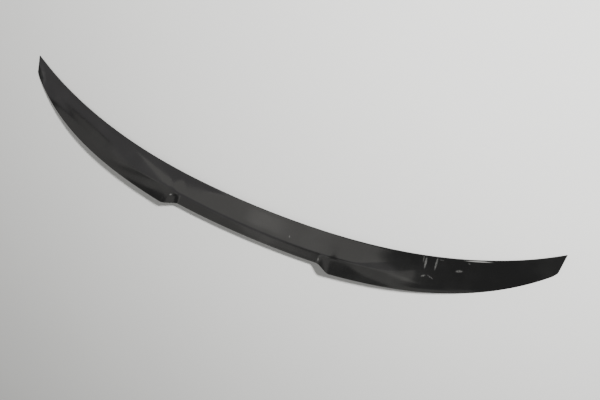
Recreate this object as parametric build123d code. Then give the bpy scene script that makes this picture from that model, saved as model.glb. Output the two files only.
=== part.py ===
from build123d import *
import math
import os

# Boot-lid lip spoiler: a hollow two-shell plastic moulding, bonded and screwed together, that is
# taped and bolted along the rear edge of a car's boot lid.
# +X runs across the car, +Y towards the front of the car, +Z up. Lengths are millimetres.
# z = 0 is the plane that the foam tape and the mounting feet rest on, x = 0 the centre line, and
# y = 0 is half way between the tips, which point forwards, and the rearmost edge.

# ---- driving dimensions -------------------------------------------------------------------
SPAN = 1200.0              # tip to tip
LEAD_DEPTH = 152.0         # how far the middle of the leading edge lies behind the tips
LEAD_FULLNESS = 0.42       # how much fuller than a parabola the leading edge is
TIP_FULLNESS = 0.14        # extra fullness close to the tips
CROWN = 8.0                # rise of the leading edge at the centre line above the tips
LIP = 2.0                  # thickness of the leading lip

NOTCH_HALF = 170.0         # inner foot of the step beside the lowered middle
HORN_START = 209.0         # outer head of the step, where the raised horn begins
STEP_ROUNDING = 0.3        # share of the step, at its foot and at its head, that is rounded
NOTCH_CHORD = 63.0         # front to back, in the lowered middle
NOTCH_RISE = 31.0          # trailing edge above leading edge, in the lowered middle
HORN_CHORD = 68.0          # front to back, at the inner end of a horn
HORN_TAPER = 18.0          # how much of that a horn loses steadily on its way to the tip
HORN_RISE = 49.0           # trailing edge above leading edge, at the inner end of a horn
TIP_CHORD = 42.0           # front to back, at the cut-off tip
TIP_RISE = 6.0             # trailing edge above leading edge, at the tip
TIP_CORNER_RADIUS = 12.0   # rounding of the tip's rear corner in plan
TIP_CORNER_SPAN = 9.0      # how far in from the tip that rounding starts
TIP_CUT = 1.2              # how much of the pointed tip is cut off

# The rear strip kicks up more steeply behind a crease. Its line, as shares of chord and of rise:
NOTCH_CREASE = (0.75, 0.49)
HORN_CREASE = (0.69, 0.33)
OUTER_HOLLOW = (0.66, 0.55)    # where the crease has softened into a smooth hollow
TIP_HOLLOW = (0.66, 0.64)      # at the tip, where little of the hollow is left
CREASE_FADE_END = 380.0        # distance from the centre line where that is so
EDGE_THICKNESS = 3.5           # the trailing edge's blunt rear face
EDGE_LEAN = 1.0                # how far that face leans forwards on its way down
RAMP_CURL = 1.45           # the ramp's angle where it meets the crease, against its mean angle
KICK_CURL = 0.95           # the kick's angle where it leaves the crease, against its mean angle
UNDERCUT_SLOPE = 1.3       # fall of the rear face below the trailing edge, per millimetre forwards

BASE_CHORD = 52.0          # front to back of the underside, at the centre line
BASE_TAPER = 12.0          # how much less that is at the tips

WALL = 3.0                 # outer skin
SOLID_LIP = 18.0           # solid leading band of the skin, front to back
HOLLOW_HALF = 530.0        # the tips are solid beyond here
PANEL = 2.5                # base panel thickness
BEAD = 1.0                 # adhesive bead between base panel and skin
TAPE = 1.2                 # foam tape thickness
FRONT_TAPE_CHORD = (5.0, 14.0)     # from and to, behind the leading edge
REAR_TAPE_INSET = (10.5, 3.5)      # from and to, ahead of the underside's rear line
SEAL_WIDTH = 2.4           # rubber strip under the leading lip
SEAL_THICKNESS = 0.8
SEAL_INSET = 0.6           # behind the leading edge
SEAL_END_INSET = 6.0       # from the cut-off tip

FASTENER_SHARE = 0.71      # inserts and screws, as a share of the underside from its front
INSERT_X = {"left_outer": -420.0, "left_inner": -150.0, "right_inner": 150.0, "right_outer": 420.0}
INSERT_RADIUS = 4.0
INSERT_LENGTH = 12.0
INSERT_FLANGE_RADIUS = 5.5
INSERT_FLANGE = 1.0
M6_MINOR_RADIUS = 2.5
BOSS_RADIUS = 8.0
BOSS_HEIGHT = 14.2         # foot to closed top
FOOT_SEAL_RADIUS = 9.5
FOOT_SEAL_BORE = 6.0

SCREW_X = [60.0, 232.0, 330.0, 500.0]      # on each side
SCREW_RADIUS = 1.9
SCREW_LENGTH = 11.0
SCREW_HEAD_RADIUS = 3.6
SCREW_HEAD = 1.8
SCREW_RECESS = 2.2
SCREW_TIP_RADIUS = 0.5
SLOT_LENGTH = 5.0
SLOT_WIDTH = 0.9
SCREW_PAD_RADIUS = 6.0     # thickened disc of the base panel round a screw
SCREW_PAD = 4.5
POST_RADIUS = 4.2          # screw post moulded under the skin
SKIN_COVER = 1.0           # skin left over the front of a post's top

FOAM_BLOCKS = {"left": (-304.0, -262.0), "centre": (-22.0, 22.0), "right": (262.0, 304.0)}
FOAM_SHARE = (0.42, 0.86)  # from and to, as shares of the underside from its front
FOAM_GAP = 1.0
FIT_GAP = 0.05             # clearance round inserts and screws
CUT_THROUGH = 15.0         # how far the hollow's cutting shape runs out below the underside

# Spans of the tape strips, from the left
FRONT_TAPES = {"left": (-530.0, -209.0), "centre": (-193.0, 193.0), "right": (209.0, 530.0)}
REAR_TAPES = {"left": (-400.0, -170.0), "centre": (-130.0, 130.0), "right": (170.0, 400.0)}
TIP_TAPES = {"left": (-587.0, -545.0), "right": (545.0, 587.0)}
TIP_TAPE_INSET = 5.0

# ---- sizes that follow --------------------------------------------------------------------
HALF = SPAN / 2
END_X = HALF - TIP_CUT                          # the cut-off tip face

# Stations of the cross-sections on the right half, closer together at the step and the tip.
# Every band along the underside uses them too, so that its faces meet the skin's exactly.
STATIONS = [0.0, 45.0, 90.0, 130.0, 150.0, 160.0, 165.0, 170.0, 174.0, 178.0, 182.0, 186.0, 189.5,
            193.0, 197.0, 201.0, 205.0, 209.0, 216.0, 230.0, 255.0, 280.0, 310.0, 340.0, 370.0,
            400.0, 430.0, 460.0, 485.0, 510.0, HOLLOW_HALF, 545.0, 560.0, 575.0, 587.0,
            END_X - SEAL_END_INSET, END_X - TIP_CORNER_SPAN / 3, END_X]


# ---- shape of the skin --------------------------------------------------------------------
def mix(a, b, share):
    return a + (b - a) * share


def smooth(share):
    """Ease from 0 to 1 with level ends."""
    share = min(max(share, 0.0), 1.0)
    return share * share * (3 - 2 * share)


def rounded_ramp(share):
    """A straight ramp from 0 to 1 whose foot and head are rounded."""
    share = min(max(share, 0.0), 1.0)
    if share > 0.5:
        return 1 - rounded_ramp(1 - share)
    if share < STEP_ROUNDING:
        return share**2 / (2 * STEP_ROUNDING * (1 - STEP_ROUNDING))
    return (share - STEP_ROUNDING / 2) / (1 - STEP_ROUNDING)


def lead_setback(x):
    """How far the leading edge lies behind the point where a tip would end uncut."""
    s = abs(x) / HALF
    return LEAD_DEPTH * (1 - s**2) * (1 + LEAD_FULLNESS * s**2 + TIP_FULLNESS * s**8)


def lead_y(x):
    """Leading edge in plan, with y = 0 half way between the tips and the rearmost edge."""
    return (LEAD_DEPTH + NOTCH_CHORD + lead_setback(END_X)) / 2 - lead_setback(x)


def lead_base_z(x):
    """Underside of the leading lip."""
    return TAPE + CROWN * (1 - (x / HALF) ** 2)


def base_chord(x):
    return BASE_CHORD - BASE_TAPER * (x / HALF) ** 4


def base_z(x, chord):
    """Underside height, falling from the crowned leading lip to the flat rear line."""
    return mix(lead_base_z(x), TAPE, chord / base_chord(x))


def on_horn(x):
    """0 in the lowered middle, 1 on a horn, with a rounded ramp between."""
    return rounded_ramp((abs(x) - NOTCH_HALF) / (HORN_START - NOTCH_HALF))


def horn_share(x):
    return max(abs(x) - HORN_START, 0.0) / (HALF - HORN_START)


def tip_rounding(x):
    """How far the rounded rear corner of the tip pulls the trailing edge forwards."""
    into_corner = max(abs(x) - (END_X - TIP_CORNER_SPAN), 0.0)
    return TIP_CORNER_RADIUS - math.sqrt(TIP_CORNER_RADIUS**2 - into_corner**2)


def trail_chord(x):
    t = horn_share(x)
    horn = HORN_CHORD - HORN_TAPER * t - (HORN_CHORD - HORN_TAPER - TIP_CHORD) * t**3
    return mix(NOTCH_CHORD, horn, on_horn(x)) - tip_rounding(x)


def trail_rise(x):
    horn = mix(HORN_RISE, TIP_RISE, horn_share(x) ** 4)
    return mix(NOTCH_RISE, horn, on_horn(x))


def crease_sharpness(x):
    """1 over the middle, fading to 0 where a horn's section is one smooth hollow."""
    return 1 - smooth((abs(x) - HORN_START) / (CREASE_FADE_END - HORN_START))


def crease_shares(x):
    """The crease's place as (share of chord, share of rise)."""
    shares = []
    for notch, inner, outer, tip in zip(NOTCH_CREASE, HORN_CREASE, OUTER_HOLLOW, TIP_HOLLOW):
        beyond = mix(outer, tip, horn_share(x) ** 4)
        horn = mix(beyond, inner, crease_sharpness(x))
        shares.append(mix(notch, horn, on_horn(x)))
    return shares


def ramp_height(x, chord):
    """Height of the outer surface above the leading lip's top, between lip and crease."""
    chord_share, rise_share = crease_shares(x)
    along = chord / (chord_share * trail_chord(x))
    return rise_share * trail_rise(x) * (along + along**2) / 2


def lead_top_z(x):
    return lead_base_z(x) + LIP


def at(x, chord, z):
    """A point of the part from its place behind the leading edge."""
    return Vector(x, lead_y(x) - chord, z)


def heading(angle):
    """Direction that runs rearwards and climbs at this angle, in radians."""
    return Vector(0, -math.cos(angle), math.sin(angle))


def climb(start, end):
    return math.atan2(end.Z - start.Z, start.Y - end.Y)


# ---- cross-sections -----------------------------------------------------------------------
def skin_section(x):
    """Closed outline of the whole spoiler across one station."""
    chord = trail_chord(x)
    top = lead_top_z(x)
    chord_share, rise_share = crease_shares(x)
    lip_bottom = at(x, 0, lead_base_z(x))
    lip_top = at(x, 0, top)
    crease = at(x, chord * chord_share, top + trail_rise(x) * rise_share)
    edge_top = at(x, chord, top + trail_rise(x))
    edge_bottom = at(x, chord - EDGE_LEAN, top + trail_rise(x) - EDGE_THICKNESS)
    heel = at(x, base_chord(x), TAPE)

    ramp = climb(lip_top, crease)
    kick = climb(crease, edge_top)
    smooth_angle = (ramp + kick) / 2
    ramp_end = mix(smooth_angle, RAMP_CURL * ramp, crease_sharpness(x))
    kick_start = mix(smooth_angle, KICK_CURL * kick, crease_sharpness(x))
    undercut = Vector(0, 1, -UNDERCUT_SLOPE).normalized()
    return Wire([
        Edge.make_line(lip_bottom, lip_top),
        Edge.make_spline([lip_top, crease], tangents=[heading(ramp / 2), heading(ramp_end)]),
        Edge.make_spline([crease, edge_top], tangents=[heading(kick_start), heading(2 * kick - kick_start)]),
        Edge.make_line(edge_top, edge_bottom),
        Edge.make_spline([edge_bottom, heel], tangents=[undercut, Vector(0, 0, -1)]),
        Edge.make_line(heel, lip_bottom),
    ])


def cavity_section(x):
    """Outline of the hollow inside the skin, running out below the underside."""
    chord = trail_chord(x)
    top = lead_top_z(x)
    chord_share, rise_share = crease_shares(x)
    crease_chord = chord * chord_share
    crease_rise = trail_rise(x) * rise_share
    ramp = math.atan2(crease_rise, crease_chord)
    kick = math.atan2(trail_rise(x) - crease_rise, chord - crease_chord)
    rear_chord = base_chord(x) - WALL
    ceiling_end_chord = crease_chord - WALL / 2
    rear_rise = crease_rise + (rear_chord - crease_chord) * math.tan(kick) - WALL / math.cos(kick)
    below = lead_base_z(x) - CUT_THROUGH
    front_top = at(x, SOLID_LIP, top + ramp_height(x, SOLID_LIP) - WALL)
    ceiling_end_rise = ramp_height(x, ceiling_end_chord) - WALL / math.cos(RAMP_CURL * ramp)
    ceiling_end = at(x, ceiling_end_chord, top + ceiling_end_rise)
    rear_top = at(x, rear_chord, top + rear_rise)
    return Wire([
        Edge.make_line(at(x, SOLID_LIP, below), front_top),
        Edge.make_spline([front_top, ceiling_end], tangents=[heading(ramp), heading(RAMP_CURL * ramp)]),
        Edge.make_line(ceiling_end, rear_top),
        Edge.make_line(rear_top, at(x, rear_chord, below)),
        Edge.make_line(at(x, rear_chord, below), at(x, SOLID_LIP, below)),
    ])


def mirrored(right_half):
    return [-x for x in reversed(right_half) if x > 0] + right_half


def stations_between(start, end):
    return [start] + [x for x in mirrored(STATIONS) if start < x < end] + [end]


def strip(start, end, front_chord, rear_chord, low, high):
    """A band along the underside; chords and heights above it are numbers or functions of x."""
    def value(size, x):
        return size(x) if callable(size) else size

    sections = []
    for x in stations_between(start, end):
        front = value(front_chord, x)
        rear = value(rear_chord, x)
        corners = [
            at(x, front, base_z(x, front) + value(low, x)),
            at(x, front, base_z(x, front) + value(high, x)),
            at(x, rear, base_z(x, rear) + value(high, x)),
            at(x, rear, base_z(x, rear) + value(low, x)),
        ]
        sections.append(Wire.make_polygon(corners, close=True))
    return Solid.make_loft(sections, ruled=True)


def rod(x, chord, radius, low, high):
    """An upright cylinder between two heights above z = 0."""
    upright = (Align.CENTER, Align.CENTER, Align.MIN)
    return Pos(at(x, chord, low)) * Cylinder(radius, high - low, align=upright)


# ---- moulded shells -----------------------------------------------------------------------
def fastener_chord(x):
    return FASTENER_SHARE * base_chord(x)


def screw_seat_z(x):
    """Underside of a screw's head, at the bottom of its recess."""
    return base_z(x, fastener_chord(x)) + SCREW_RECESS


def screw_stations():
    return mirrored(SCREW_X)


def screw_post(x):
    chord = fastener_chord(x)
    pad_top = base_z(x, chord) + SCREW_PAD
    skin_top = lead_top_z(x) + ramp_height(x, chord - POST_RADIUS)
    return rod(x, chord, POST_RADIUS, pad_top, skin_top - SKIN_COVER)


def pilot_hole(x):
    low = screw_seat_z(x)
    return rod(x, fastener_chord(x), SCREW_RADIUS + FIT_GAP, low, low + SCREW_LENGTH)


def outer_skin():
    body = Solid.make_loft([skin_section(x) for x in stations_between(-END_X, END_X)], ruled=True)
    hollow_stations = stations_between(-HOLLOW_HALF, HOLLOW_HALF)
    hollow = Solid.make_loft([cavity_section(x) for x in hollow_stations], ruled=True)
    posts = [screw_post(x) for x in screw_stations()]
    holes = [pilot_hole(x) for x in screw_stations()]
    return (body - hollow).fuse(*posts).cut(*holes)


def panel_front(x):
    return SOLID_LIP + BEAD


def panel_rear(x):
    return base_chord(x) - WALL - BEAD


def insert_boss(x):
    return rod(x, fastener_chord(x), BOSS_RADIUS, TAPE, TAPE + BOSS_HEIGHT)


def insert_space(x):
    """Hole in a boss that a threaded insert fills, with a seat for its flange."""
    chord = fastener_chord(x)
    body = rod(x, chord, INSERT_RADIUS + FIT_GAP, TAPE, TAPE + INSERT_LENGTH + FIT_GAP)
    return body + rod(x, chord, INSERT_FLANGE_RADIUS + FIT_GAP, TAPE, TAPE + INSERT_FLANGE + FIT_GAP)


def screw_pad(x):
    chord = fastener_chord(x)
    low = base_z(x, chord)
    return rod(x, chord, SCREW_PAD_RADIUS, low + PANEL / 2, low + SCREW_PAD)


def screw_recess(x):
    chord = fastener_chord(x)
    seat = screw_seat_z(x)
    head_space = rod(x, chord, SCREW_HEAD_RADIUS + FIT_GAP, 0, seat)
    return head_space + rod(x, chord, SCREW_RADIUS + FIT_GAP, 0, seat + SCREW_LENGTH)


def base_panel():
    edge = HOLLOW_HALF - BEAD
    panel = strip(-edge, edge, panel_front, panel_rear, 0, PANEL)
    raised = [insert_boss(x) for x in INSERT_X.values()] + [screw_pad(x) for x in screw_stations()]
    sunk = [insert_space(x) for x in INSERT_X.values()] + [screw_recess(x) for x in screw_stations()]
    return panel.fuse(*raised).cut(*sunk)


# ---- pieces fitted to the shells ----------------------------------------------------------
def threaded_insert(x):
    """Flanged brass insert for an M6 bolt."""
    chord = fastener_chord(x)
    body = rod(x, chord, INSERT_RADIUS, TAPE, TAPE + INSERT_LENGTH)
    flange = rod(x, chord, INSERT_FLANGE_RADIUS, TAPE, TAPE + INSERT_FLANGE)
    return body + flange - rod(x, chord, M6_MINOR_RADIUS, TAPE, TAPE + INSERT_LENGTH)


def foot_seal(x):
    """Closed-cell foam ring between a boss and the boot lid."""
    chord = fastener_chord(x)
    return rod(x, chord, FOOT_SEAL_RADIUS, 0, TAPE) - rod(x, chord, FOOT_SEAL_BORE, 0, TAPE)


def panel_screw(x):
    """Flat-headed self-tapping screw with a tapered end."""
    chord = fastener_chord(x)
    seat = screw_seat_z(x)
    point_length = 2 * SCREW_RADIUS
    head = rod(x, chord, SCREW_HEAD_RADIUS, seat - SCREW_HEAD, seat)
    shank_top = seat + SCREW_LENGTH - point_length
    shank = rod(x, chord, SCREW_RADIUS, seat, shank_top)
    point = Pos(at(x, chord, shank_top)) * Cone(
        SCREW_RADIUS, SCREW_TIP_RADIUS, point_length, align=(Align.CENTER, Align.CENTER, Align.MIN)
    )
    slot = Pos(at(x, chord, seat - SCREW_HEAD)) * Box(SLOT_LENGTH, SLOT_WIDTH, SCREW_HEAD)
    return head + shank + point - slot


def front_bead():
    edge = HOLLOW_HALF - BEAD
    return strip(-edge, edge, SOLID_LIP, panel_front, 0, PANEL)


def rear_bead():
    edge = HOLLOW_HALF - BEAD
    return strip(-edge, edge, panel_rear, lambda x: base_chord(x) - WALL, 0, PANEL)


def lip_seal():
    """Rubber strip that closes the gap under the leading lip."""
    edge = END_X - SEAL_END_INSET
    return strip(-edge, edge, SEAL_INSET, SEAL_INSET + SEAL_WIDTH, -SEAL_THICKNESS, 0)


def front_tape(start, end):
    return strip(start, end, *FRONT_TAPE_CHORD, -TAPE, 0)


def rear_tape(start, end):
    front_inset, rear_inset = REAR_TAPE_INSET
    return strip(
        start, end, lambda x: base_chord(x) - front_inset, lambda x: base_chord(x) - rear_inset, -TAPE, 0
    )


def tip_tape(start, end):
    return strip(start, end, TIP_TAPE_INSET, lambda x: base_chord(x) - TIP_TAPE_INSET, -TAPE, 0)


def foam_block(start, end):
    """Soft block that stops the two shells drumming."""
    front_share, rear_share = FOAM_SHARE

    def ceiling(x, chord):
        inside = lead_top_z(x) + ramp_height(x, chord) - WALL
        return inside - base_z(x, chord) - 2 * FOAM_GAP

    def low_end(x):
        return ceiling(x, front_share * base_chord(x))

    return strip(
        start, end, lambda x: front_share * base_chord(x), lambda x: rear_share * base_chord(x),
        PANEL + FOAM_GAP, low_end,
    )


# ---- the whole spoiler --------------------------------------------------------------------
def all_nodes():
    nodes = {
        "outer_skin": outer_skin(),
        "base_panel": base_panel(),
        "panel_screws": Compound(children=[panel_screw(x) for x in screw_stations()]),
        "front_bond_bead": front_bead(),
        "rear_bond_bead": rear_bead(),
        "lip_seal": lip_seal(),
    }
    for side, x in INSERT_X.items():
        nodes["threaded_insert_" + side] = threaded_insert(x)
        nodes["foot_seal_" + side] = foot_seal(x)
    for side, span in FRONT_TAPES.items():
        nodes["front_tape_" + side] = front_tape(*span)
    for side, span in REAR_TAPES.items():
        nodes["rear_tape_" + side] = rear_tape(*span)
    for side, span in TIP_TAPES.items():
        nodes["tip_tape_" + side] = tip_tape(*span)
    for side, span in FOAM_BLOCKS.items():
        nodes["foam_block_" + side] = foam_block(*span)
    return nodes


os.makedirs("parts", exist_ok=True)
for name, shape in all_nodes().items():
    export_step(shape, os.path.join("parts", name + ".step"))
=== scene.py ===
import math

import bmesh
import bpy
from mathutils import Matrix, Vector


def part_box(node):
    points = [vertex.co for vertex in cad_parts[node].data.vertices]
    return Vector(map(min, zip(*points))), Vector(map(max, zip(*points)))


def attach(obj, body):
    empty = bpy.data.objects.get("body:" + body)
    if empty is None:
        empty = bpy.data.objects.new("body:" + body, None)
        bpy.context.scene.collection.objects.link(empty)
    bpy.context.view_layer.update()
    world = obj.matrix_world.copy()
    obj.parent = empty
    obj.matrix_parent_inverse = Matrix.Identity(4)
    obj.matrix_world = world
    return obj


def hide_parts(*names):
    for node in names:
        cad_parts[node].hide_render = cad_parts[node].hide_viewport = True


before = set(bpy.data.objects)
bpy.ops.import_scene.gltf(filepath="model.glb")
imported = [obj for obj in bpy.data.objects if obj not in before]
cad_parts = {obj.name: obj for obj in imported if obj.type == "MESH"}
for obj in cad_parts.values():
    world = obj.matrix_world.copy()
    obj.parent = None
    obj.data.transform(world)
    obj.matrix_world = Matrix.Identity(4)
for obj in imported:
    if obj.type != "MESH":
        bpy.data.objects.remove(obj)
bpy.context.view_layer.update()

# A boot-lid lip spoiler in gloss black, lying on a pale floor. Lengths are metres, +X runs across
# the car, +Y towards its front and +Z up.

# ---- driving dimensions, the same design as the CAD frame -----------------------------------
MM = 0.001
HALF = 600.0 * MM              # centre line to where an uncut tip would end
LEAD_DEPTH = 152.0 * MM        # middle of the leading edge behind those ends
LEAD_FULLNESS = 0.42
TIP_FULLNESS = 0.14
CROWN = 8.0 * MM
LIP = 2.0 * MM
TAPE = 1.2 * MM                # height of the underside's flat rear line above the floor

NOTCH_HALF = 170.0 * MM
HORN_START = 209.0 * MM
STEP_ROUNDING = 0.3            # share of the step, at each end, that is rounded
NOTCH_CHORD = 63.0 * MM
NOTCH_RISE = 31.0 * MM
HORN_CHORD = 68.0 * MM
HORN_TAPER = 18.0 * MM
HORN_RISE = 49.0 * MM
TIP_CHORD = 42.0 * MM
TIP_RISE = 6.0 * MM
TIP_CORNER_RADIUS = 12.0 * MM
TIP_CORNER_SPAN = 9.0 * MM

NOTCH_CREASE = (0.75, 0.49)
HORN_CREASE = (0.69, 0.33)
OUTER_HOLLOW = (0.66, 0.55)
TIP_HOLLOW = (0.66, 0.64)
CREASE_FADE_END = 380.0 * MM
EDGE_THICKNESS = 3.5 * MM
EDGE_LEAN = 1.0 * MM
RAMP_CURL = 1.45               # a slope at the crease, against the mean slope of its run
KICK_CURL = 0.95
UNDERCUT_SLOPE = 1.3

BASE_CHORD = 52.0 * MM
BASE_TAPER = 12.0 * MM
WALL = 3.0 * MM
SOLID_LIP = 18.0 * MM
HOLLOW_HALF = 530.0 * MM

END_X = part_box("outer_skin")[1].x    # where the cut tips end


# ---- shape of the skin ------------------------------------------------------------------------
def mix(a, b, share):
    return a + (b - a) * share


def clamp(value, low=0.0, high=1.0):
    return min(max(value, low), high)


def smooth(share):
    """Ease from 0 to 1 with level ends."""
    share = clamp(share)
    return share * share * (3 - 2 * share)


def rounded_ramp(share):
    """A straight ramp from 0 to 1 whose two ends are rounded."""
    share = clamp(share)
    r = STEP_ROUNDING
    if share > 0.5:
        return 1 - rounded_ramp(1 - share)
    if share < r:
        return share**2 / (2 * r * (1 - r))
    return (share - r / 2) / (1 - r)


def lead_setback(x):
    s = abs(x) / HALF
    return LEAD_DEPTH * (1 - s**2) * (1 + LEAD_FULLNESS * s**2 + TIP_FULLNESS * s**8)


def lead_y(x):
    return (LEAD_DEPTH + NOTCH_CHORD + lead_setback(END_X)) / 2 - lead_setback(x)


def lead_base_z(x):
    return TAPE + CROWN * (1 - (x / HALF) ** 2)


def base_chord(x):
    return BASE_CHORD - BASE_TAPER * (x / HALF) ** 4


def base_z(x, chord):
    return mix(lead_base_z(x), TAPE, chord / base_chord(x))


def on_horn(x):
    return rounded_ramp((abs(x) - NOTCH_HALF) / (HORN_START - NOTCH_HALF))


def horn_share(x):
    return max(abs(x) - HORN_START, 0.0) / (HALF - HORN_START)


def tip_rounding(x):
    into_corner = max(abs(x) - (END_X - TIP_CORNER_SPAN), 0.0)
    return TIP_CORNER_RADIUS - math.sqrt(TIP_CORNER_RADIUS**2 - into_corner**2)


def trail_chord(x):
    t = horn_share(x)
    horn = HORN_CHORD - HORN_TAPER * t - (HORN_CHORD - HORN_TAPER - TIP_CHORD) * t**3
    return mix(NOTCH_CHORD, horn, on_horn(x)) - tip_rounding(x)


def trail_rise(x):
    return mix(NOTCH_RISE, mix(HORN_RISE, TIP_RISE, horn_share(x) ** 4), on_horn(x))


def crease_sharpness(x):
    return 1 - smooth((abs(x) - HORN_START) / (CREASE_FADE_END - HORN_START))


def crease_shares(x):
    shares = []
    for notch, inner, outer, tip in zip(NOTCH_CREASE, HORN_CREASE, OUTER_HOLLOW, TIP_HOLLOW):
        beyond = mix(outer, tip, horn_share(x) ** 4)
        horn = mix(beyond, inner, crease_sharpness(x))
        shares.append(mix(notch, horn, on_horn(x)))
    return shares


def ramp_height(x, chord):
    chord_share, rise_share = crease_shares(x)
    along = chord / (chord_share * trail_chord(x))
    return rise_share * trail_rise(x) * (along + along**2) / 2


# ---- the skin's cross-section, as (chord, height) points ----------------------------------------
LIP_RADIUS = 1.6 * MM
EDGE_RADIUS = 1.3 * MM
CREASE_RADIUS = 3.5 * MM
HEEL_RADIUS = 1.0 * MM
ARC_STEPS = 4
RAMP_STEPS = 14
KICK_STEPS = 8
UNDER_STEPS = 8
INNER_POINTS = 5               # on every inner outline, so that hollow and solid rings match
LONGEST_TRIM = 0.4             # share of a run that the rounding at one end may take


def heading(angle):
    return Vector((math.cos(angle), math.sin(angle)))


def climb(start, end):
    return math.atan2(end.y - start.y, end.x - start.x)


def hermite(start, end, leave, arrive, steps):
    """Points of a cubic whose end tangents are as long as its chord."""
    reach = (end - start).length
    points = []
    for i in range(steps + 1):
        u = i / steps
        a = 2 * u**3 - 3 * u**2 + 1
        b = u**3 - 2 * u**2 + u
        c = -2 * u**3 + 3 * u**2
        d = u**3 - u**2
        points.append(a * start + b * reach * leave + c * end + d * reach * arrive)
    return points


def trimmed(points, start_cut, end_cut):
    """A polyline with a length taken off each end, kept at the same number of points."""
    lengths = [0.0]
    for a, b in zip(points, points[1:]):
        lengths.append(lengths[-1] + (b - a).length)
    total = lengths[-1]
    low = min(start_cut, LONGEST_TRIM * total)
    high = total - min(end_cut, LONGEST_TRIM * total)
    result = []
    segment = 0
    for i in range(len(points)):
        target = mix(low, high, i / (len(points) - 1))
        while segment < len(points) - 2 and lengths[segment + 1] < target:
            segment += 1
        share = (target - lengths[segment]) / (lengths[segment + 1] - lengths[segment])
        result.append(points[segment].lerp(points[segment + 1], share))
    return result


def arc_between(start, corner, end):
    """Inner points of the rounding that replaces a corner."""
    points = []
    for i in range(1, ARC_STEPS):
        u = i / ARC_STEPS
        points.append((1 - u) ** 2 * start + 2 * u * (1 - u) * corner + u**2 * end)
    return points


def rounded_outline(runs, radii):
    """Joins open runs of points end to end, each joint rounded by its radius."""
    outline = []
    cut = []
    for i, run in enumerate(runs):
        start_radius = radii[i - 1] if i > 0 else 0.0
        end_radius = radii[i] if i < len(radii) else 0.0
        cut.append(trimmed(run, start_radius, end_radius))
    for i, run in enumerate(cut):
        outline.extend(run)
        if i + 1 < len(cut):
            outline.extend(arc_between(run[-1], runs[i][-1], cut[i + 1][0]))
    return outline


def outer_outline(x):
    """From the underside of the leading lip, over the top, to the underside's rear line."""
    chord = trail_chord(x)
    base = lead_base_z(x)
    top = base + LIP
    chord_share, rise_share = crease_shares(x)
    lip_bottom = Vector((0.0, base))
    lip_top = Vector((0.0, top))
    crease = Vector((chord * chord_share, top + trail_rise(x) * rise_share))
    edge_top = Vector((chord, top + trail_rise(x)))
    edge_bottom = Vector((chord - EDGE_LEAN, edge_top.y - EDGE_THICKNESS))
    heel = Vector((base_chord(x), TAPE))

    ramp = climb(lip_top, crease)
    kick = climb(crease, edge_top)
    smooth_angle = (ramp + kick) / 2
    ramp_end = mix(smooth_angle, RAMP_CURL * ramp, crease_sharpness(x))
    kick_start = mix(smooth_angle, KICK_CURL * kick, crease_sharpness(x))
    undercut = Vector((-1.0, -UNDERCUT_SLOPE)).normalized()
    runs = [
        [lip_bottom, lip_top],
        hermite(lip_top, crease, heading(ramp / 2), heading(ramp_end), RAMP_STEPS),
        hermite(crease, edge_top, heading(kick_start), heading(2 * kick - kick_start), KICK_STEPS),
        [edge_top, edge_bottom],
        hermite(edge_bottom, heel, undercut, Vector((0.0, -1.0)), UNDER_STEPS),
        [heel, heel - Vector((WALL, 0.0))],
    ]
    return rounded_outline(runs, [LIP_RADIUS, CREASE_RADIUS, EDGE_RADIUS, EDGE_RADIUS, HEEL_RADIUS])


def inner_outline(x, hollow):
    """From the rear wall's foot, round the hollow, to the solid lip's foot; flat where it is solid."""
    chord = trail_chord(x)
    top = lead_base_z(x) + LIP
    chord_share, rise_share = crease_shares(x)
    crease_chord = chord * chord_share
    rear = base_chord(x) - WALL
    rear_foot = Vector((rear, base_z(x, rear)))
    lip_foot = Vector((SOLID_LIP, base_z(x, SOLID_LIP)))
    if not hollow:
        return [rear_foot.lerp(lip_foot, i / (INNER_POINTS - 1)) for i in range(INNER_POINTS)]
    kick = math.atan2(trail_rise(x) * (1 - rise_share), chord - crease_chord)
    ramp = math.atan2(trail_rise(x) * rise_share, crease_chord)
    rear_rise = trail_rise(x) * rise_share + (rear - crease_chord) * math.tan(kick) - WALL / math.cos(kick)
    ceiling_end = crease_chord - WALL / 2
    return [
        rear_foot,
        Vector((rear, top + rear_rise)),
        Vector((ceiling_end, top + ramp_height(x, ceiling_end) - WALL / math.cos(RAMP_CURL * ramp))),
        Vector((SOLID_LIP, top + ramp_height(x, SOLID_LIP) - WALL)),
        lip_foot,
    ]


# ---- meshes -------------------------------------------------------------------------------------
FINE_STEP = 1.5 * MM           # between rings at a step and at a tip
COARSE_STEP = 6.0 * MM
FINE_TIP_SPAN = 3 * TIP_CORNER_SPAN
CRISP_EDGE_DEGREES = 40.0
SAME_POINT = 0.001 * MM        # points this close together are one


def ring_stations():
    """Rings from tip to tip, closer together where the shape turns quickly."""
    half = [0.0]
    while half[-1] < END_X - FINE_STEP:
        x = half[-1]
        at_step = NOTCH_HALF - COARSE_STEP < x < HORN_START + COARSE_STEP
        at_tip = x > END_X - FINE_TIP_SPAN
        half.append(x + (FINE_STEP if at_step or at_tip else COARSE_STEP))
    half[-1] = END_X
    return [-x for x in reversed(half[1:])] + half


def skin_ring(x, hollow):
    outline = outer_outline(x) + inner_outline(x, hollow)
    return [Vector((x, lead_y(x) - chord, z)) for chord, z in outline]


def link_mesh(name, mesh):
    piece = bpy.data.objects.new(name, mesh)
    bpy.context.scene.collection.objects.link(piece)
    return piece


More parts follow.
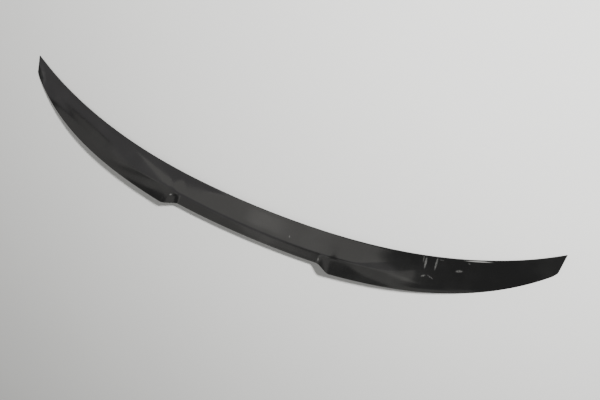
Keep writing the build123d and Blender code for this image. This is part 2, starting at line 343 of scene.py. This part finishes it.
def closed_tube(name, rings):
    """A mesh skinned over rings of equal point counts, with its two ends capped."""
    mesh_builder = bmesh.new()
    rows = [[mesh_builder.verts.new(point) for point in ring] for ring in rings]
    count = len(rings[0])
    for row, following in zip(rows, rows[1:]):
        for i in range(count):
            j = (i + 1) % count
            mesh_builder.faces.new((row[i], row[j], following[j], following[i]))
    mesh_builder.faces.new(rows[0])
    mesh_builder.faces.new(list(reversed(rows[-1])))
    bmesh.ops.remove_doubles(mesh_builder, verts=mesh_builder.verts, dist=SAME_POINT)
    bmesh.ops.recalc_face_normals(mesh_builder, faces=mesh_builder.faces)
    mesh = bpy.data.meshes.new(name)
    mesh_builder.to_mesh(mesh)
    mesh_builder.free()
    mesh.shade_smooth()
    mesh.set_sharp_from_angle(angle=math.radians(CRISP_EDGE_DEGREES))
    return link_mesh(name, mesh)


def skin_piece():
    rings = []
    was_hollow = False
    for x in ring_stations():
        hollow = abs(x) < HOLLOW_HALF
        if hollow != was_hollow:
            wall_x = math.copysign(HOLLOW_HALF, x)
            rings.append(skin_ring(wall_x, was_hollow))
            rings.append(skin_ring(wall_x, hollow))
        rings.append(skin_ring(x, hollow))
        was_hollow = hollow
    return closed_tube("painted_skin", rings)


skin = skin_piece()
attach(skin, "root")
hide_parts("outer_skin")


# ---- materials ----------------------------------------------------------------------------------
NOISE_RANGE = (0.3, 0.7)       # holds nearly all of a noise's values
MARK_CORE = 0.4                # share of a mark's reach over which it keeps its full strength


class Nodes:
    """Short way to build a material's node tree."""

    def __init__(self, name):
        self.material = bpy.data.materials.new(name)
        self.material.use_nodes = True
        self.tree = self.material.node_tree
        self.shader = self.tree.nodes["Principled BSDF"]

    def add(self, kind, inputs=None, **settings):
        node = self.tree.nodes.new(kind)
        for key, value in settings.items():
            setattr(node, key, value)
        for key, value in (inputs or {}).items():
            if isinstance(value, bpy.types.NodeSocket):
                self.tree.links.new(value, node.inputs[key])
            else:
                node.inputs[key].default_value = value
        return node

    def place(self):
        """Object coordinates, in metres."""
        return self.add("ShaderNodeTexCoord").outputs["Object"]

    def noise(self, scale, detail=4.0, roughness=0.55):
        inputs = {"Vector": self.place(), "Scale": scale, "Detail": detail, "Roughness": roughness}
        return self.add("ShaderNodeTexNoise", inputs).outputs["Fac"]

    def between(self, value, low, high, to_low=0.0, to_high=1.0):
        """A value eased from one range to another."""
        inputs = {"Value": value, "From Min": low, "From Max": high, "To Min": to_low, "To Max": to_high}
        return self.add("ShaderNodeMapRange", inputs, interpolation_type="SMOOTHSTEP").outputs["Result"]

    def calculate(self, operation, first, second):
        return self.add("ShaderNodeMath", {0: first, 1: second}, operation=operation).outputs[0]

    def mix_colors(self, share, first, second):
        inputs = {"Factor": share, "A": first, "B": second}
        node = self.add("ShaderNodeMix", data_type="RGBA")
        for key, value in inputs.items():
            socket = [s for s in node.inputs if s.name == key and s.enabled][0]
            if isinstance(value, bpy.types.NodeSocket):
                self.tree.links.new(value, socket)
            else:
                socket.default_value = value
        return [s for s in node.outputs if s.enabled][0]

    def spot(self, x, y, half_length, half_width, turn, strength):
        """An oval mark seen from above: its strength in the middle, fading to 0 at its edge."""
        inputs = {
            "Vector": self.place(),
            "Location": (x, y, 0.0),
            "Rotation": (0.0, 0.0, math.radians(turn)),
            "Scale": (half_length, half_width, 1.0),
        }
        inside = self.add("ShaderNodeMapping", inputs, vector_type="TEXTURE").outputs["Vector"]
        distance = self.add("ShaderNodeVectorMath", {0: inside}, operation="LENGTH").outputs["Value"]
        return self.between(distance, MARK_CORE, 1.0, strength, 0.0)

    def bump(self, height, distance, strength=1.0):
        inputs = {"Height": height, "Distance": distance, "Strength": strength}
        normal = self.add("ShaderNodeBump", inputs).outputs["Normal"]
        self.set(Normal=normal)

    def set(self, **inputs):
        for key, value in inputs.items():
            socket = self.shader.inputs[key.replace("_", " ")]
            if isinstance(value, bpy.types.NodeSocket):
                self.tree.links.new(value, socket)
            else:
                socket.default_value = value


BLACK_PAINT = (0.0015, 0.0015, 0.0015, 1.0)
PALE_FILM_AND_HIGHLIGHT = (0.164, 0.163, 0.157, 1.0)        # what dust and rubs turn the paint towards, and the colour of the painted glints and the painted lip highlight
ORANGE_PEEL_HEIGHT = 0.006 * MM

# How far each film turns the paint towards the pale colour
DUST = 0.03
SPECKS = 0.10
RUBBED = 0.40
# Painted glints: pale spots in the colour that stand in for highlights on the paint
PAINTED_GLINT_SHARE = 0.45
DUSTY_TIP = 0.10

# Roughness of the paint: where it shines most, where it is dull, and where it is rubbed
SHINY = 0.08
DULL = 0.17
SCUFFED = 0.55

# Marks on the paint: x and y of the middle, half length, half width, turn in degrees, strength
RUBS = [
    (0.3785, -0.0120, 0.0125, 0.0028, -80.0, 1.0),
    (0.3725, -0.0080, 0.0085, 0.0016, -77.0, 0.6),
    (0.3980, -0.0060, 0.0140, 0.0024, -84.0, 0.9),
    (0.4050, 0.0040, 0.0060, 0.0012, 12.0, 0.5),
    (0.3830, -0.0325, 0.0055, 0.0018, 34.0, 1.0),
    (0.3960, -0.0290, 0.0080, 0.0014, -6.0, 0.7),
    (0.4420, 0.0006, 0.0085, 0.0026, 25.0, 0.7),
    (0.4542, 0.0197, 0.0026, 0.0018, 0.0, 0.8),
]
# Painted highlights: small pale spots standing in for specular glints where the horn flanks meet the
# steps, not chips in the paint
PAINTED_GLINTS = [
    (-0.1962, -0.0872, 0.0032, 0.0016, 10.0, 1.0),
    (0.0962, -0.0768, 0.0020, 0.0030, 20.0, 0.6),
    (0.1731, -0.0928, 0.0018, 0.0034, 25.0, 0.6),
]
# A painted highlight: a thin pale streak along the leading lip that stands in for the reflection of a
# bright wall, not worn paint
PAINTED_LIP_HIGHLIGHT = (0.4680, 0.0300, 0.0300, 0.0014, 21.8, 1.0)
TIP_DUST = (-0.5830, 0.0700, 0.0300, 0.0100, 115.0, 1.0)


def largest(nodes, masks):
    result = masks[0]
    for mask in masks[1:]:
        result = nodes.calculate("MAXIMUM", result, mask)
    return result


def gloss_black():
    """Black paint with orange peel, a little dust and rubs, and painted glints and a painted highlight
    along the lip.
    """
    nodes = Nodes("gloss_black")
    dust = nodes.between(nodes.noise(scale=9.0, detail=6.0), 0.45, 0.8, 0.0, DUST)
    specks = nodes.between(nodes.noise(scale=900.0, detail=2.0), 0.72, 0.80, 0.0, SPECKS)
    broken = nodes.between(nodes.noise(scale=420.0, detail=5.0, roughness=0.7), 0.35, 0.6, 0.15, 1.0)
    rubbed = nodes.calculate("MULTIPLY", largest(nodes, [nodes.spot(*rub) for rub in RUBS]), broken)
    # Pale spots for the painted glints
    painted_glint_mask = largest(nodes, [nodes.spot(*glint) for glint in PAINTED_GLINTS])
    patchy = nodes.between(nodes.noise(scale=60.0), *NOISE_RANGE)
    tip_dust = nodes.calculate("MULTIPLY", nodes.spot(*TIP_DUST), patchy)
    # Real dust and rubs, together with the painted glints and the painted lip highlight
    films_and_highlights = [
        nodes.calculate("ADD", dust, specks),
        nodes.calculate("MULTIPLY", rubbed, RUBBED),
        nodes.calculate("MULTIPLY", painted_glint_mask, PAINTED_GLINT_SHARE),
        nodes.calculate("MULTIPLY", tip_dust, DUSTY_TIP),
        # the painted highlight along the lip
        nodes.spot(*PAINTED_LIP_HIGHLIGHT),
    ]
    film_and_highlights = largest(nodes, films_and_highlights)
    gloss = nodes.between(nodes.noise(scale=14.0, detail=5.0), 0.3, 0.75, SHINY, DULL)
    nodes.set(
        Base_Color=nodes.mix_colors(film_and_highlights, BLACK_PAINT, PALE_FILM_AND_HIGHLIGHT),
        Roughness=nodes.calculate("MAXIMUM", gloss, nodes.calculate("MULTIPLY", rubbed, SCUFFED)),
    )
    nodes.bump(nodes.noise(scale=500.0, detail=2.0), ORANGE_PEEL_HEIGHT, strength=0.3)
    return nodes.material


LOW_GRAIN_SHADE = 0.75         # brightness of the grain's low points against its high points
SHEEN_PATCH = 3                # size of the patches of roughness against the grain


def plain(name, color, low_rough, high_rough, grain_scale, grain_height, metallic=0.0):
    """An even material with a fine grain, a little darker where the grain is low."""
    nodes = Nodes(name)
    darker = tuple(LOW_GRAIN_SHADE * c for c in color) + (1.0,)
    shade = nodes.between(nodes.noise(grain_scale), *NOISE_RANGE)
    nodes.set(
        Base_Color=nodes.mix_colors(shade, darker, color + (1.0,)),
        Roughness=nodes.between(
            nodes.noise(grain_scale / SHEEN_PATCH), *NOISE_RANGE, low_rough, high_rough
        ),
        Metallic=metallic,
    )
    nodes.bump(nodes.noise(grain_scale, 3.0), grain_height)
    return nodes.material


def give(material, *objects):
    for piece in objects:
        if not piece.data.materials:
            piece.data.materials.append(material)
        for slot in piece.material_slots:
            slot.material = material


# Part of the node's name: material name, colour, low and high roughness, grain scale and height
FINISHES = {
    "base_panel": plain("matte_black", (0.022, 0.022, 0.023), 0.45, 0.6, 900.0, 0.04 * MM),
    "panel_screws": plain("zinc_steel", (0.62, 0.63, 0.64), 0.25, 0.4, 300.0, 0.01 * MM, metallic=1.0),
    "bond_bead": plain("adhesive", (0.03, 0.03, 0.033), 0.35, 0.5, 120.0, 0.05 * MM),
    "lip_seal": plain("seal_rubber", (0.018, 0.018, 0.018), 0.5, 0.65, 400.0, 0.03 * MM),
    "threaded_insert": plain("brass", (0.72, 0.53, 0.25), 0.25, 0.4, 200.0, 0.01 * MM, metallic=1.0),
    "foot_seal": plain("foam", (0.045, 0.045, 0.05), 0.8, 0.95, 700.0, 0.2 * MM),
    "foam_block": plain("foam_block", (0.05, 0.05, 0.055), 0.85, 0.95, 500.0, 0.3 * MM),
    "tape": plain("foam_tape", (0.10, 0.10, 0.11), 0.7, 0.9, 600.0, 0.1 * MM),
}


def dress_cad_nodes():
    """Each piece that is shown as the CAD made it gets the finish that its name asks for."""
    for name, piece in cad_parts.items():
        for part_of_name, material in FINISHES.items():
            if part_of_name in name:
                give(material, piece)


give(gloss_black(), skin)
dress_cad_nodes()


# ---- floor, light and camera ----------------------------------------------------------------------
WORLD_STRENGTH = 0.35
WORLD_COLOR = (1.0, 1.0, 0.985, 1.0)
FLOOR_SIZE = 12.0
FLOOR_COLORS = ((0.705, 0.705, 0.685, 1), (0.735, 0.735, 0.715, 1))
FLOOR_ROUGHNESS = 0.6
KEY_PLACE = (0.95, 1.35, 1.50)
KEY_SIZE = 0.14
KEY_POWER = 116.0
DOWN = (0.0, 0.0, -1.0)
BACK = (0.0, -1.0, 0.0)

WARM = (1.0, 0.975, 0.93)
ROSY = (1.0, 0.955, 0.98)

# Name, middle, facing, width, depth, turn in degrees, radiance, tint
PANELS = [
    ("overhead", (-0.27, 0.017, 1.20), DOWN, 0.72, 0.90, 26.0, 1.28, WARM),
    ("overhead_left", (-1.192, 0.124, 1.21), DOWN, 0.86, 1.50, 26.0, 0.62, ROSY),
    ("small_overhead", (-0.30, -0.06, 1.17), DOWN, 0.14, 0.40, 0.0, 0.60, WARM),
    ("above_ahead", (-0.645, 0.781, 1.22), DOWN, 0.70, 0.80, 26.0, 0.68, ROSY),
    ("wall_ahead", (-0.95, 1.90, 1.22), BACK, 0.70, 1.42, 0.0, 0.68, WARM),
    ("low_wall_ahead", (-1.035, 1.90, 0.32), BACK, 0.53, 0.38, 0.0, 0.68, WARM),
    ("ahead", (-0.50, 1.50, 1.19), DOWN, 0.22, 0.39, 0.0, 0.70, WARM),
    ("low_ahead", (-0.095, 1.92, 0.815), BACK, 0.61, 0.53, 0.0, 0.72, WARM),
    ("low_beside", (-0.495, 1.92, 0.745), BACK, 0.19, 0.39, 0.0, 0.68, WARM),
]


def pale_floor():
    bpy.ops.mesh.primitive_plane_add(size=FLOOR_SIZE, location=(0.0, 0.0, 0.0))
    floor = bpy.context.object
    floor.name = "floor"
    nodes = Nodes("pale_floor")
    nodes.set(
        Base_Color=nodes.mix_colors(nodes.noise(scale=3.0), *FLOOR_COLORS),
        Roughness=FLOOR_ROUGHNESS,
    )
    give(nodes.material, floor)


def lamp(name, shape, place, target, width, depth, power):
    light = bpy.data.lights.new(name, "AREA")
    light.shape = shape
    light.size = width
    light.size_y = depth
    light.energy = power
    stand = bpy.data.objects.new(name, light)
    stand.location = place
    stand.rotation_euler = (Vector(target) - Vector(place)).to_track_quat("-Z", "Y").to_euler()
    bpy.context.scene.collection.objects.link(stand)
    stand.visible_camera = False
    return stand


def key_light():
    """Throws the crisp shadow; kept out of the paint's reflections."""
    key = lamp("key", "DISK", KEY_PLACE, (0.0, 0.0, 0.0), KEY_SIZE, KEY_SIZE, KEY_POWER)
    key.visible_glossy = False


def soft_panels():
    """Pale panels round the part that only its gloss reflects."""
    for name, place, facing, width, depth, turn, radiance, tint in PANELS:
        place = Vector(place)
        panel = lamp(name, "RECTANGLE", place, place + Vector(facing), width, depth, 1.0)
        panel.data.energy = radiance * math.pi * width * depth
        panel.data.color = tint
        panel.rotation_euler.rotate_axis("Z", math.radians(turn))
        panel.visible_diffuse = False


def soft_world(strength):
    world = bpy.data.worlds.new("studio")
    world.use_nodes = True
    background = world.node_tree.nodes["Background"]
    background.inputs["Color"].default_value = WORLD_COLOR
    background.inputs["Strength"].default_value = strength
    bpy.context.scene.world = world


CAMERA_PLACE = Vector((0.3295, 0.5216, 0.8939))
CAMERA_FORWARD = Vector((-0.2234, -0.4873, -0.8442))
CAMERA_UP = Vector((-0.3628, 0.8454, -0.3920))
CAMERA_LENS = 30.0             # millimetres, as is the film's width
FILM_WIDTH = 36.0


def camera_at_photo_angle():
    data = bpy.data.cameras.new("camera")
    data.lens = CAMERA_LENS
    data.sensor_width = FILM_WIDTH
    camera = bpy.data.objects.new("camera", data)
    back = -CAMERA_FORWARD.normalized()
    right = CAMERA_UP.cross(back).normalized()
    up = back.cross(right)
    turn = Matrix((right, up, back)).transposed().to_4x4()
    camera.matrix_world = Matrix.Translation(CAMERA_PLACE) @ turn
    bpy.context.scene.collection.objects.link(camera)
    bpy.context.scene.camera = camera


pale_floor()
soft_world(WORLD_STRENGTH)
key_light()
soft_panels()
camera_at_photo_angle()
